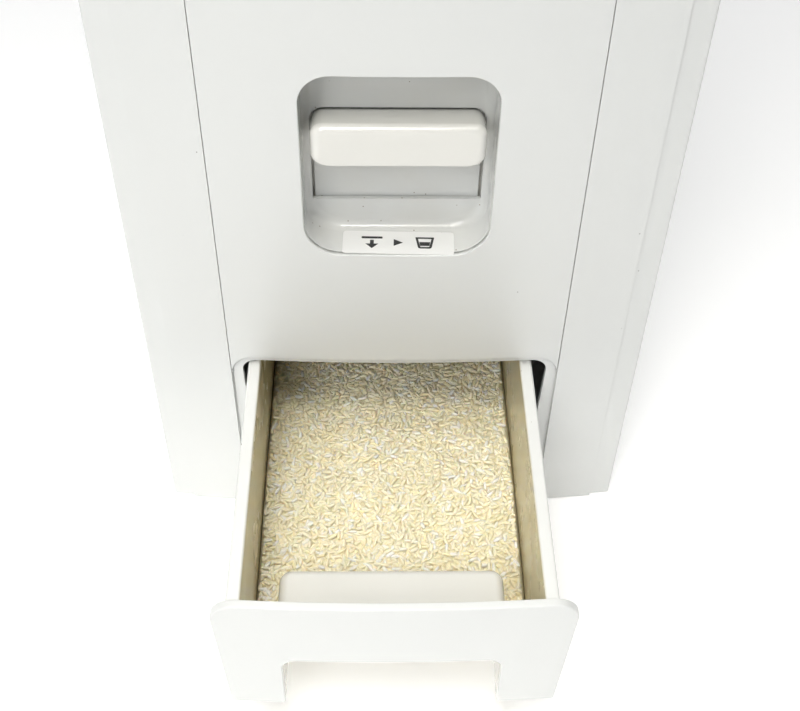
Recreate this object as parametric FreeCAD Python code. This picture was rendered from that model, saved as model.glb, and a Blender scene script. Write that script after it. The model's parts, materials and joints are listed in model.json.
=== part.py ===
"""Rice dispenser with a lever-driven measuring drum and a catch drawer, shown with the drawer drawn out.

Frame: millimetres. +Z is up, +Y runs from the front to the back, +X is to the right seen from the front.
The origin is the centre of the base's underside. The front is bowed: its crown line is the plane x = 0.
"""

import FreeCAD, Part
import math
import os
from FreeCAD import Vector

os.makedirs("parts", exist_ok=True)

# ---- Casing -----------------------------------------------------------------------------------------
body_width = 255.0
body_depth = 345.0
lid_top = 600.0
bow_radius = 1192.0  # the front's curve, seen from above
front = -body_depth / 2  # the crown of the bowed front
back = body_depth / 2
half_width = body_width / 2
sheet = 2.5  # wall thickness of the casing's mouldings
fit_gap = 0.3  # gap between neighbouring mouldings
panel_bottom = 0.8
panel_top = 565.7

base_thickness = 4.0
flange_step = 115.6  # half-width of the front frame, where the side panels' flanges begin
flange_setback = 1.5  # how far those flanges stand behind the bow
rear_flange_width = 14.0
rear_flange_inset = 5.4  # from the side panels' back edges to the flange's outer face
rear_screw_heights = (30.0, 190.0, 350.0, 520.0)

cover_half_width = 84.4
cover_thickness = 2.6
cover_top = 531.7
cover_corner = 4.0
frame_thickness = 3.0
frame_lip = 7.0  # width of the ledge behind the cover's edges
frame_lip_depth = 5.2

# ---- Top --------------------------------------------------------------------------------------------
rim_bottom = 566.0
rim_top = 588.0
rim_opening_half_width = 114.0
rim_opening_front = -149.0
rim_opening_back = 149.0
lid_bottom = 588.6
hinge_y = 167.7
hinge_z = 593.8
hinge_knuckle_radius = 4.3
hinge_pin_radius = 2.0
hinge_centre_x = 77.0
knuckle_pitch = 12.0  # from the lid's knuckle to each of the top frame's
outer_knuckle = 8.0
inner_knuckle = 15.2
lid_open_cut_radius = 5.2
lid_round = 2.0
corner_round = 3.0

# ---- Lever recess -----------------------------------------------------------------------------------
recess_bottom = 193.8
recess_top = 291.2
recess_half_width = 42.75
recess_depth = 22.4
recess_radius_low = 17.0
recess_radius_high = 14.0
recess_wall = 2.0
recess_flange = 8.0
recess_back_fillet = 5.0
recess_back = front + recess_depth
window_half_width = 39.4
window_bottom = 209.8
window_top = 261.0
window_radius = 6.0

lever_half_width = 38.35
lever_bottom = 245.8
lever_front_top = 267.0
lever_back_top = 259.7
lever_side_round = 5.6
lever_front_round = 3.8
shield_bottom = 205.5
shield_thickness = 3.0

label_width = 52.6
label_depth = 15.9
label_thickness = 0.2
label_setback = 1.2  # from the recess's mouth
label_offset = 0.8  # it is stuck a little to the right and not quite square
label_turn = -1.3

slide_y = recess_back + 5.6  # front face of the slide's plate
slide_plate = 3.0
slide_half_width = 43.0
slide_bottom = 203.0
slide_top = 297.0
slide_stem_half_width = 38.0
slide_bar_bottom = 186.0
slide_bar_top = 198.0
slide_bar_depth = 12.0
slide_arm_half_width = 3.5
rack_top = 278.0
rack_first_tooth = -3
rack_last_tooth = 11

spring_places = (-24.0, 24.0)
spring_y = slide_y + 6.4
spring_seat = 149.0
spring_top = slide_bar_bottom
spring_wire = 0.55
spring_radius = 3.6
spring_turns = 7
spring_post_radius = 2.0
spring_post_top = 206.0

# ---- Measuring drum ---------------------------------------------------------------------------------
drum_y = -92.5
drum_z = 240.0
drum_radius = 42.0
drum_half_length = 54.0
drum_end = 3.5
pocket_half_width = 27.0
pocket_floor = 6.0  # above the drum's axis
housing_clearance = 0.6
housing_wall = 2.6
shaft_radius = 4.0
bush_radius = 6.0
bush_length = 5.3

gear_module = 1.0
pinion_teeth = 16
pinion_radius = gear_module * pinion_teeth / 2
gear_width = 6.0
gear_centre_x = 65.5
gear_root = 1.25 * gear_module  # depth of a tooth's root below the pitch line
tooth_backlash = 0.36

# ---- Hopper -----------------------------------------------------------------------------------------
hopper_half_width = 121.5
hopper_front = -158.0
hopper_back = 158.0
hopper_wall = 2.2
hopper_top = 565.5
funnel_top = 470.0
funnel_bottom = 292.0
neck_half_width = 50.5
chute_bottom = 120.0
chute_top = 222.0
hopper_rim_width = 2.0
hopper_rim_height = 2.5

# ---- Drawer, drawn out by drawer_open ---------------------------------------------------------------
drawer_open = 143.5  # from the crown of the casing's front to the crown of the drawer's
drawer_front_y = front - drawer_open
drawer_plate = 4.3
drawer_offset = -2.3  # the drawer and its runners lie a little to the left of the casing's middle
drawer_plate_offset = 0.9  # and its front plate a little to the right of its tray's middle
drawer_plate_half_width = 82.2  # at its top
drawer_plate_foot_half_width = 77.7  # at its foot, because its sides taper
drawer_plate_bottom = 33.0
drawer_plate_top = 117.2
drawer_plate_radius = 12.0
drawer_land_depth = 2.0  # depth of the shallow landing that the closed drawer front sits on
tray_inner_half_width = 66.8
tray_wall = 2.6
tray_rim_half_width = 73.2
tray_rim_height = 3.0
tray_lip_height = 12.0
tray_lip = 1.6  # thickness of the turned-down lip
tray_corner = 3.0  # round between the tray's floor and its walls
tray_floor = 36.0
tray_top = 116.1
tray_length = 264.0
opening_half_width = 79.2  # at its top
opening_foot_half_width = 75.6
opening_bottom = 31.5
opening_top = 118.5
opening_radius = 8.0
contour_top = 122.4  # top of the landing, where the front cover ends
contour_half_width = 83.9

notch_half_width = 50.8
notch_top = 72.5
notch_radius = 7.0
pocket_wall = 2.5
pull_pocket_top = 83.6
pull_pocket_depth = 40.2
pull_pocket_corner = 5.5  # round of its upright corners
pull_pocket_round = 4.5  # round of its top
rice_height = 55.0
rice_mound = 3.0
runner_play = 0.6  # between the tray's side and the runner's web
runner_sheet = 3.0
runner_top = 90.0


# ---- Shape helpers ----------------------------------------------------------------------------------
def box(x0, x1, y0, y1, z0, z1):
    """A block between two corners."""
    return Part.makeBox(x1 - x0, y1 - y0, z1 - z0, Vector(x0, y0, z0))


def rod(radius, start, end):
    """A round bar from one point to another."""
    run = end - start
    return Part.makeCylinder(radius, run.Length, start, run)


def mirrored(shape):
    """The same shape on the other side of the plane x = 0."""
    return shape.mirror(Vector(0, 0, 0), Vector(1, 0, 0))


def rounded_outline(half_width, z0, z1, radius_low, radius_high, foot_half_width=None):
    """A closed outline in the plane y = 0 with round corners. A narrower foot makes its sides taper."""
    w = half_width
    foot_w = foot_half_width or half_width
    corners = (
        (Vector(foot_w, 0, z0), radius_low),
        (Vector(w, 0, z1), radius_high),
        (Vector(-w, 0, z1), radius_high),
        (Vector(-foot_w, 0, z0), radius_low),
    )
    edges = []
    starts = []
    ends = []
    for i, (corner, radius) in enumerate(corners):
        towards_last = (corners[i - 1][0] - corner).normalize()
        towards_next = (corners[(i + 1) % 4][0] - corner).normalize()
        half_angle = towards_last.getAngle(towards_next) / 2
        reach = radius / math.tan(half_angle)
        start = corner + towards_last * reach
        end = corner + towards_next * reach
        if radius > 0:
            inwards = (towards_last + towards_next).normalize()
            middle = corner + inwards * (radius / math.sin(half_angle) - radius)
            edges.append(Part.Arc(start, middle, end).toShape())
        starts.append(start)
        ends.append(end)
    for i in range(4):
        edges.append(Part.LineSegment(ends[i], starts[(i + 1) % 4]).toShape())
    return Part.Wire(Part.__sortEdges__(edges))


def rounded_prism(half_width, z0, z1, radius_low, radius_high, y0, y1, foot_half_width=None):
    """A block along Y whose four long edges are round."""
    face = Part.Face(rounded_outline(half_width, z0, z1, radius_low, radius_high, foot_half_width))
    face.translate(Vector(0, y0, 0))
    return face.extrude(Vector(0, y1 - y0, 0))


def bow_drum(depth, z0, z1, crown=front):
    """The cylinder whose side is the bowed front, moved back by depth."""
    centre = Vector(0, crown + bow_radius, z0)
    return Part.makeCylinder(bow_radius - depth, z1 - z0, centre)


def bow_slab(x0, x1, z0, z1, depth, thickness, crown=front):
    """A bowed plate whose front is depth behind the bow."""
    shell = bow_drum(depth, z0, z1, crown).cut(bow_drum(depth + thickness, z0, z1, crown))
    return shell.common(box(x0, x1, crown - 1, crown + 40, z0, z1))


def prism_along_x(points, x0, x1):
    """A block along X whose section is a polygon of (y, z) points."""
    corners = [Vector(x0, y, z) for y, z in points]
    face = Part.Face(Part.makePolygon(corners + corners[:1]))
    return face.extrude(Vector(x1 - x0, 0, 0))


def prism_along_y(points, y0, y1):
    """A block along Y whose section is a polygon of (x, z) points."""
    corners = [Vector(x, y0, z) for x, z in points]
    face = Part.Face(Part.makePolygon(corners + corners[:1]))
    return face.extrude(Vector(0, y1 - y0, 0))


def round_edges(shape, radius, wanted):
    """Rounds the edges that wanted(edge) picks."""
    edges = [edge for edge in shape.Edges if wanted(edge)]
    return shape.makeFillet(radius, edges)


def on_plane(edge, axis, value, tolerance=0.01):
    """True where an edge lies whole in the plane axis = value."""
    bounds = edge.BoundBox
    low = getattr(bounds, axis + "Min")
    high = getattr(bounds, axis + "Max")
    return abs(low - value) < tolerance and abs(high - value) < tolerance


def upright_edge(edge, height):
    """True for an edge that runs straight up for the given height."""
    return abs(edge.BoundBox.ZLength - height) < 0.01


def shifted(shape, x):
    """The same shape moved sideways."""
    return shape.translated(Vector(x, 0, 0))


def fused(shapes):
    """One solid from overlapping shapes."""
    return shapes[0].fuse(shapes[1:]).removeSplitter()


# ---- Casing -----------------------------------------------------------------------------------------
def base_plate():
    """The floor of the casing, which stands on the worktop."""
    w = half_width - sheet - fit_gap
    plate = box(-w, w, front + 14, back - 8.2, 0, base_thickness)
    plate = round_edges(plate, 6, lambda e: upright_edge(e, base_thickness))
    return round_edges(plate, 0.8, lambda e: on_plane(e, "Z", 0))


def side_panel():
    """The right side: a sheet with a bowed front flange and a rear flange for the screws."""
    inner = half_width - sheet
    wall = box(inner, half_width, front + 4, back, panel_bottom, panel_top)
    wall = wall.common(bow_drum(flange_setback, panel_bottom, panel_top))
    x0 = flange_step + fit_gap
    front_flange = bow_slab(x0, half_width, panel_bottom, panel_top, flange_setback, sheet)
    y1 = back - rear_flange_inset
    x2 = half_width - rear_flange_width
    rear_flange = box(x2, half_width, y1 - sheet, y1, panel_bottom, panel_top)
    panel = fused([wall, front_flange, rear_flange])
    panel = round_edges(
        panel,
        1.6,
        lambda e: upright_edge(e, panel_top - panel_bottom)
        and e.BoundBox.XMin > half_width - 0.05
        and e.BoundBox.YMax < front + 12,
    )
    for z in rear_screw_heights:
        start = Vector(half_width - rear_flange_width / 2 - 1.5, y1 - 6, z)
        panel = panel.cut(rod(1.7, start, start + Vector(0, 12, 0)))
    return panel


def rear_panel():
    """The back sheet, with a shallow field and holes for the screws."""
    y0 = back - rear_flange_inset + 0.2
    x1 = half_width - sheet - fit_gap
    panel = box(-x1, x1, y0, y0 + sheet, base_thickness + fit_gap, panel_top)
    field = rounded_prism(96, 60, 500, 14, 14, y0 + sheet - 0.8, y0 + sheet + 1)
    panel = panel.cut(field)
    for x in rear_screw_places():
        for z in rear_screw_heights:
            start = Vector(x, y0 - 6, z)
            panel = panel.cut(rod(1.7, start, start + Vector(0, 12, 0)))
    return panel


def rear_screw_places():
    """How far to each side the screws stand."""
    x = half_width - rear_flange_width / 2 - 1.5
    return (-x, x)


def rear_screws():
    """Cross-head screws through the rear panel into the side panels' flanges."""
    seat = back - rear_flange_inset + 0.2 + sheet
    screws = []
    for x in rear_screw_places():
        for z in rear_screw_heights:
            head = rod(3.5, Vector(x, seat, z), Vector(x, seat + 1.8, z))
            head = round_edges(head, 0.8, lambda e: on_plane(e, "Y", seat + 1.8))
            shank = rod(1.5, Vector(x, seat - 9.5, z), Vector(x, seat + 0.5, z))
            screw = head.fuse(shank).removeSplitter()
            for across in (Vector(2.0, 0, 0.4), Vector(0.4, 0, 2.0)):
                w = across.x
                h = across.z
                screw = screw.cut(box(x - w, x + w, seat + 0.9, seat + 3, z - h, z + h))
            screws.append(screw)
    return Part.makeCompound(screws)


def front_frame():
    """Pilasters, sill and top rail in one bowed moulding, with the drawer's landing set back in it."""
    x1 = flange_step
    face = bow_slab(-x1, x1, panel_bottom, panel_top, 0, frame_thickness)
    y0 = front - 5
    y1 = front + 25
    window_w = cover_half_width + 0.25
    window = rounded_prism(window_w, opening_bottom, cover_top + 0.25, 0, cover_corner, y0, y1)
    face = face.cut(window)
    lip_w = cover_half_width + frame_lip
    lip_depth = frame_thickness - 0.2
    lip_top = cover_top + frame_lip
    lip = bow_slab(-lip_w, lip_w, panel_bottom, lip_top, lip_depth, frame_lip_depth - lip_depth)
    hollow_w = cover_half_width - frame_lip
    lip = lip.cut(rounded_prism(hollow_w, contour_top + 6, cover_top - frame_lip, 6, 6, y0, y1))
    landing = bow_slab(-lip_w, lip_w, opening_bottom - 1, contour_top + 6, drawer_land_depth, sheet)
    landing_w = contour_half_width - fit_gap
    landing_top = contour_top - fit_gap
    landing_radius = drawer_plate_radius - fit_gap
    landing = landing.common(
        rounded_prism(landing_w, opening_bottom - 5, landing_top, 0, landing_radius, y0, y1)
    )
    opening = rounded_prism(
        opening_half_width,
        opening_bottom,
        opening_top,
        0,
        opening_radius,
        y0,
        y1,
        opening_foot_half_width,
    )
    return fused([face, lip, landing]).cut(opening)


def front_cover():
    """The centre cover between the seams, with the recess's hole and a foot shaped round the drawer."""
    w = cover_half_width
    bottom = contour_top - drawer_plate_radius
    y0 = front - 5
    y1 = front + 20
    cover = bow_slab(-w - 3, w + 3, bottom - 3, cover_top + 3, 0, cover_thickness)
    outline = rounded_prism(w, bottom, cover_top, 0, cover_corner, y0, y1)
    contour = rounded_prism(
        contour_half_width, bottom - 30, contour_top, 0, drawer_plate_radius, y0, y1
    )
    return cover.common(outline).cut(contour).cut(recess_block(0, y0, y1))


def recess_block(grow, y0, y1):
    """The recess's rounded outline, grown all round, as a block between two depths."""
    return rounded_prism(
        recess_half_width + grow,
        recess_bottom - grow,
        recess_top + grow,
        recess_radius_low + grow,
        recess_radius_high + grow,
        y0,
        y1,
    )


def recess_housing():
    """The cup behind the hole: its walls, its back with the lever's window, and a flange at its mouth."""
    mouth_depth = cover_thickness + 0.2
    w = recess_half_width + recess_flange
    z0 = recess_bottom - recess_flange
    z1 = recess_top + recess_flange
    outer = recess_block(recess_wall, front, recess_back + recess_wall)
    outer = outer.fuse(bow_slab(-w, w, z0, z1, mouth_depth, recess_wall))
    outer = outer.common(bow_drum(mouth_depth, z0 - 10, z1 + 10))
    inner = recess_block(0, front - 1, recess_back)
    inner = round_edges(inner, recess_back_fillet, lambda e: on_plane(e, "Y", recess_back))
    y0 = recess_back - 9
    y1 = recess_back + 9
    window = rounded_prism(window_half_width, window_bottom, window_top, 0.6, window_radius, y0, y1)
    return outer.cut(inner).cut(window).removeSplitter()


def press_label():
    """A blank rounded sticker lying on the recess's floor."""
    middle = Vector(label_offset, front + label_setback + label_depth / 2, recess_bottom + 0.12)
    w = label_width / 2
    d = label_depth / 2
    label = box(-w, w, -d, d, 0, label_thickness)
    label = round_edges(label, 1.6, lambda e: upright_edge(e, label_thickness))
    label.rotate(Vector(0, 0, 0), Vector(0, 0, 1), label_turn)
    label.translate(middle)
    return label


# ---- Lever ------------------------------------------------------------------------------------------
def press_lever():
    """The thumb lever: a block with a sloping top that passes through the recess's window."""
    y1 = recess_back + 2.2
    block = rounded_prism(lever_half_width, lever_bottom, lever_front_top + 10, 4.0, 0, front, y1)
    top = [(front - 1, lever_front_top), (y1 + 1, lever_back_top)]
    above = top + [(y1 + 1, lever_front_top + 20), (front - 1, lever_front_top + 20)]
    block = block.cut(prism_along_x(above, -60, 60))
    block = round_edges(
        block,
        lever_side_round,
        lambda e: e.BoundBox.ZMin > lever_bottom + 8 and e.BoundBox.YLength > recess_depth,
    )
    return round_edges(
        block,
        lever_front_round,
        lambda e: on_plane(e, "Y", front) and e.BoundBox.ZMax > lever_bottom + 0.5,
    )


def dust_shield():
    """The panel seen in the window below the lever, long enough to fill it at every lever position."""
    y0 = recess_back + 2.4
    y1 = y0 + shield_thickness
    return box(-lever_half_width, lever_half_width, y0, y1, shield_bottom, slide_top)


def rack_tooth_points(z, root_y):
    """One trapezoid tooth's (y, z) outline, pointing towards +Y."""
    half_pitch = math.pi * gear_module / 4 - tooth_backlash / 2
    slope = math.tan(math.radians(20))
    half_root = half_pitch + gear_root * slope
    half_tip = half_pitch - gear_module * slope
    foot_y = root_y - 0.5
    tip_y = root_y + gear_root + gear_module
    return [
        (foot_y, z - half_root),
        (tip_y, z - half_tip),
        (tip_y, z + half_tip),
        (foot_y, z + half_root),
    ]


def lever_slide():
    """Plate, cross bar, side arm and toothed rack, which carry the lever's motion to the drum's pinion."""
    w = slide_half_width
    stem_w = slide_stem_half_width
    z0 = slide_bar_bottom
    z1 = slide_bar_top
    arm_x0 = gear_centre_x - slide_arm_half_width
    arm_x1 = gear_centre_x + slide_arm_half_width
    rack_y = drum_y - pinion_radius - gear_root
    plate = box(-w, w, slide_y, slide_y + slide_plate, slide_bottom, slide_top)
    stem = box(-stem_w, stem_w, slide_y, slide_y + slide_plate, z0 + 2, slide_bottom + 1)
    bar = box(-stem_w, arm_x1, slide_y, slide_y + slide_bar_depth, z0, z1)
    arm = box(arm_x0, arm_x1, slide_y, rack_y, z0, z1)
    post = box(arm_x0, arm_x1, rack_y - 6, rack_y, z0, rack_top)
    slide = fused([plate, stem, bar, arm, post])
    x0 = gear_centre_x - gear_width / 2
    x1 = gear_centre_x + gear_width / 2
    for number in range(rack_first_tooth, rack_last_tooth + 1):
        z = drum_z + number * math.pi * gear_module
        slide = slide.fuse(prism_along_x(rack_tooth_points(z, rack_y), x0, x1))
    for x in spring_places:
        bore = rod(spring_post_radius + 0.1, Vector(x, spring_y, z0 - 6), Vector(x, spring_y, z1 + 7))
        slide = slide.cut(bore)
    return slide.removeSplitter()


def guide_rail():
    """The right-hand channel that the slide's edge runs in."""
    x0 = slide_half_width - 3.4
    z0 = slide_bottom + 3
    z1 = slide_top - 3
    rail = box(x0, x0 + 7.8, recess_back + recess_wall + 0.1, recess_back + 12, z0, z1)
    groove = box(x0 - 1, slide_half_width + 0.5, slide_y - 0.5, slide_y + slide_plate + 0.5, z0 - 5, z1 + 5)
    throat = box(x0 - 1, slide_half_width - 1.6, recess_back, slide_y, z0 - 5, z1 + 5)
    return rail.cut(groove).cut(throat)


def spring_bracket():
    """The shelf that the return springs stand on, with an apron screwed to the chute."""
    y0 = spring_y - 8
    y1 = drum_y - pocket_half_width - 2.2
    shelf = box(-36, 36, y0, y1, spring_seat - 3, spring_seat)
    apron = box(-36, 36, y1 - 3, y1, spring_seat - 20, spring_seat)
    return fused([shelf, apron])


def spring_posts():
    """A steel pin through each spring."""
    posts = []
    for x in spring_places:
        foot = Vector(x, spring_y, spring_seat)
        posts.append(rod(spring_post_radius, foot, Vector(x, spring_y, spring_post_top)))
    return Part.makeCompound(posts)


def return_springs():
    """Two compression springs round the posts, with a wire that follows a helix."""
    length = spring_top - spring_seat - 2 * spring_wire - 0.4
    springs = []
    for x in spring_places:
        helix = Part.makeHelix(length / spring_turns, length, spring_radius)
        section = Part.Wire(Part.makeCircle(spring_wire, Vector(spring_radius, 0, 0), Vector(0, 1, 0)))
        wire = Part.Wire(helix).makePipeShell([section], True, True)
        wire.translate(Vector(x, spring_y, spring_seat + spring_wire + 0.2))
        springs.append(wire)
    return Part.makeCompound(springs)


# ---- Measuring drum ---------------------------------------------------------------------------------
def along_drum(radius, x0, x1):
    """A cylinder on the drum's axis."""
    return rod(radius, Vector(x0, drum_y, drum_z), Vector(x1, drum_y, drum_z))


def measuring_drum():
    """A drum with a one-cup pocket that faces the hopper at rest and the chute when the lever is down."""
    drum = along_drum(drum_radius, -drum_half_length, drum_half_length)
    x1 = drum_half_length - drum_end
    y0 = drum_y - pocket_half_width
    y1 = drum_y + pocket_half_width
    pocket = box(-x1, x1, y0, y1, drum_z + pocket_floor, drum_z + drum_radius + 5)
    pocket = round_edges(
        pocket,
        4,
        lambda e: on_plane(e, "Z", drum_z + pocket_floor) and e.BoundBox.XLength > 20,
    )
    return drum.cut(pocket).cut(along_drum(shaft_radius + 0.02, -60, 60))


def drum_shaft():
    """The steel shaft, with a chamfer at each end."""
    shaft = along_drum(shaft_radius, -61.5, gear_centre_x + 5)
    return shaft.makeChamfer(0.5, [e for e in shaft.Edges if e.BoundBox.XLength < 0.01])


def drum_pinion():
    """Sixteen straight-flanked teeth on a hub, with a gap between teeth facing the rack."""
    x0 = gear_centre_x - gear_width / 2
    x1 = gear_centre_x + gear_width / 2
    pinion = along_drum(pinion_radius - gear_root, x0, x1)
    half_pitch = math.pi * gear_module / 4 - tooth_backlash / 2
    outline = [
        (5.0, 1.35),
        (pinion_radius - 0.9, 1.0),
        (pinion_radius, half_pitch),
        (pinion_radius + 0.95, 0.30),
    ]
    points = [(drum_y + r, drum_z + w) for r, w in outline]
    points += [(drum_y + r, drum_z - w) for r, w in reversed(outline)]
    tooth = prism_along_x(points, x0, x1)
    step = 360 / pinion_teeth
    centre = Vector(0, drum_y, drum_z)
    for number in range(pinion_teeth):
        turned = tooth.copy()
        turned.rotate(centre, Vector(1, 0, 0), step * (number + 0.5))
        pinion = pinion.fuse(turned)
    return pinion.removeSplitter().cut(along_drum(shaft_radius + 0.02, x0 - 1, x1 + 1))


def drum_housing(side):
    """Half of the drum's casing: side -1 is the front half and side 1 the rear half."""
    inner = drum_radius + housing_clearance
    x1 = drum_half_length + housing_clearance
    x2 = x1 + housing_wall
    shell = along_drum(inner + housing_wall, -x2, x2).cut(along_drum(inner, -x1, x1))
    slot = box(-x1 + 4, x1 - 4, drum_y - pocket_half_width, drum_y + pocket_half_width, 180, 300)
    shell = shell.cut(slot).cut(along_drum(bush_radius + 0.02, -70, 70))
    near = drum_y + side * 0.1
    far = drum_y + side * 60
    half = box(-70, 70, min(near, far), max(near, far), 180, 300)
    return shell.common(half)


def housing_cutter():
    """A bar just larger than the drum's casing, to shape what fits against it."""
    return along_drum(drum_radius + housing_clearance + housing_wall + 0.2, -70, 70)


def shaft_bushes():
    """A bush in each end wall of the drum's casing."""
    bushes = []
    start = drum_half_length + 0.7
    for side in (-1, 1):
        bush = along_drum(bush_radius, side * start, side * (start + bush_length))
        bushes.append(bush.cut(along_drum(shaft_radius + 0.05, -70, 70)))
    return Part.makeCompound(bushes)


def discharge_chute():
    """A square duct from the drum's lower slot to just above the drawer."""
    x1 = neck_half_width
    y0 = drum_y - pocket_half_width
    y1 = drum_y + pocket_half_width
    outer = box(-x1 - 2, x1 + 2, y0 - 2, y1 + 2, chute_bottom, chute_top)
    duct = outer.cut(box(-x1, x1, y0, y1, chute_bottom - 10, chute_top + 10))
    return duct.cut(housing_cutter())


# ---- Hopper -----------------------------------------------------------------------------------------
def rectangle(half_width, y0, y1, z):
    """A level rectangle, for the loft of the funnel."""
    places = ((-half_width, y0), (half_width, y0), (half_width, y1), (-half_width, y1))
    corners = [Vector(x, y, z) for x, y in places]
    return Part.makePolygon(corners + corners[:1])


def hopper_body(shrink):
    """The hopper's outer shape, or its inside when shrink is the wall's thickness."""
    w = hopper_half_width - shrink
    y0 = hopper_front + shrink
    y1 = hopper_back - shrink
    neck_w = neck_half_width + hopper_wall - shrink
    neck_y0 = drum_y - pocket_half_width - hopper_wall + shrink
    neck_y1 = drum_y + pocket_half_width + hopper_wall - shrink
    reach = 5 if shrink else 0
    bin_part = box(-w, w, y0, y1, funnel_top, hopper_top + reach)
    lower = rectangle(neck_w, neck_y0, neck_y1, funnel_bottom)
    upper = rectangle(w, y0, y1, funnel_top)
    funnel = Part.makeLoft([lower, upper], True, True)
    neck = box(-neck_w, neck_w, neck_y0, neck_y1, drum_z + 20 - reach, funnel_bottom)
    return fused([bin_part, funnel, neck])


def hopper_bin():
    """The bin, its funnel and its neck, with a stiffening rim turned outwards at the top."""
    shape = hopper_body(0).cut(hopper_body(hopper_wall))
    w = hopper_half_width
    rim_w = w + hopper_rim_width
    y0 = hopper_front - hopper_rim_width
    y1 = hopper_back + hopper_rim_width
    rim = box(-rim_w, rim_w, y0, y1, hopper_top - hopper_rim_height, hopper_top)
    rim = rim.cut(box(-w, w, hopper_front, hopper_back, hopper_top - 50, hopper_top + 50))
    shape = shape.fuse(rim).removeSplitter()
    return shape.cut(housing_cutter())


# ---- Drawer -----------------------------------------------------------------------------------------
def drawer_front():
    """The bowed front plate, with the hand notch at its foot."""
    w = drawer_plate_half_width + 3
    z0 = drawer_plate_bottom
    z1 = drawer_plate_top
    y0 = drawer_front_y - 5
    y1 = drawer_front_y + 30
    plate = bow_slab(-w, w, z0 - 3, z1 + 3, 0, drawer_plate, drawer_front_y)
    outline = rounded_prism(
        drawer_plate_half_width, z0, z1, 1.5, drawer_plate_radius, y0, y1, drawer_plate_foot_half_width
    )
    notch = rounded_prism(notch_half_width, 10, notch_top, 0, notch_radius, y0, y1)
    return plate.common(shifted(outline, drawer_plate_offset)).cut(notch)


def drawer_inside_start():
    """The inner face of the drawer front at its crown."""
    return drawer_front_y + drawer_plate


def pull_pocket_block(shrink):
    """The finger pocket's outer block, or its inside when shrink is its wall's thickness."""
    w = notch_half_width + pocket_wall - shrink
    y0 = drawer_inside_start() - (10 if shrink else 5)
    y1 = drawer_inside_start() + pull_pocket_depth - shrink
    z0 = drawer_plate_bottom - (10 if shrink else 0)
    z1 = pull_pocket_top - shrink
    block = box(-w, w, y0, y1, z0, z1)
    if shrink:
        return block
    block = round_edges(
        block,
        pull_pocket_corner,
        lambda e: on_plane(e, "Y", y1) and e.BoundBox.XLength < 0.01,
    )
    return round_edges(
        block,
        pull_pocket_round,
        lambda e: on_plane(e, "Z", z1) and not on_plane(e, "Y", y0),
    )


def pull_pocket():
    """The hollow behind the hand notch, open below and towards the front."""
    behind_plate = bow_drum(drawer_plate + 0.1, 0, 200, drawer_front_y)
    return pull_pocket_block(0).cut(pull_pocket_block(pocket_wall)).common(behind_plate)


def drawer_tray():
    """The tray: floor, two sides and a back, with a rim turned outwards and down along the sides."""
    y0 = drawer_inside_start()
    y1 = y0 + tray_length
    w = tray_inner_half_width
    rim_w = tray_rim_half_width
    rim_y1 = y1 + 3
    lip_w = rim_w - tray_lip
    outer = box(-w - tray_wall, w + tray_wall, y0 - 5, y1, drawer_plate_bottom, tray_top)
    rim = box(-rim_w, rim_w, y0 - 5, rim_y1, tray_top - tray_rim_height, tray_top)
    lips = box(-rim_w, rim_w, y0 - 5, rim_y1, tray_top - tray_lip_height, tray_top)
    lips = lips.cut(box(-lip_w, lip_w, y0 - 9, rim_y1 - tray_lip, 0, 200))
    inside = box(-w, w, y0 - 9, y1 - tray_wall, tray_floor, tray_top + 5)
    inside = round_edges(
        inside,
        tray_corner,
        lambda e: on_plane(e, "Z", tray_floor) and not on_plane(e, "Y", y0 - 9),
    )
    tray = fused([outer, rim, lips]).cut(inside)
    pocket_w = notch_half_width + pocket_wall + 0.15
    pocket_y1 = y0 + pull_pocket_depth + 0.15
    tray = tray.cut(box(-pocket_w, pocket_w, y0 - 9, pocket_y1, 0, tray_floor + 1))
    return tray.common(bow_drum(drawer_plate + 0.1, 0, 200, drawer_front_y))


def rice_fill():
    """The rice in the drawer as one bulk solid, heaped a little along its middle."""
    y0 = drawer_inside_start() + 1.5
    y1 = drawer_inside_start() + tray_length - tray_wall - tray_corner - 0.4
    w = tray_inner_half_width - 0.4
    z0 = tray_floor + 0.4
    crest = rice_height + rice_mound
    section = [
        (-w, z0 + tray_corner),
        (-w + tray_corner, z0),
        (w - tray_corner, z0),
        (w, z0 + tray_corner),
        (w, rice_height),
        (w / 2, crest),
        (-w / 2, crest),
        (-w, rice_height),
    ]
    bulk = prism_along_y(section, y0, y1)
    pocket_w = notch_half_width + pocket_wall + 0.5
    pocket_y1 = drawer_inside_start() + pull_pocket_depth + 0.5
    bulk = bulk.cut(box(-pocket_w, pocket_w, y0 - 5, pocket_y1, 0, 100))
    return bulk.common(bow_drum(drawer_plate + 0.5, 0, 200, drawer_front_y))


def drawer_runner():
    """The right-hand runner: foot on the base, web beside the tray, and the pad that carries it."""
    web_x = tray_inner_half_width + tray_wall + runner_play
    foot_x = web_x + 14
    pad_x = web_x - 9
    foot = base_thickness + 0.1
    pad_top = drawer_plate_bottom - fit_gap
    profile = [
        (foot_x, foot),
        (foot_x, foot + runner_sheet),
        (web_x + sheet, foot + runner_sheet),
        (web_x + sheet, runner_top),
        (web_x, runner_top),
        (web_x, pad_top),
        (pad_x, pad_top),
        (pad_x, pad_top - runner_sheet),
        (web_x, pad_top - runner_sheet),
        (web_x, foot),
    ]
    return prism_along_y(profile, front + 18, 120)


# ---- Top --------------------------------------------------------------------------------------------
def body_outline(z0, z1, inset):
    """The casing's outline from above, bowed at the front, as a solid."""
    block = box(-half_width + inset, half_width - inset, front - 1, back - inset, z0, z1)
    return block.common(bow_drum(inset, z0, z1))


def hinge_rod(radius, x0, x1):
    """A bar along the lid's hinge line."""
    return rod(radius, Vector(x0, hinge_y, hinge_z), Vector(x1, hinge_y, hinge_z))


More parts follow.
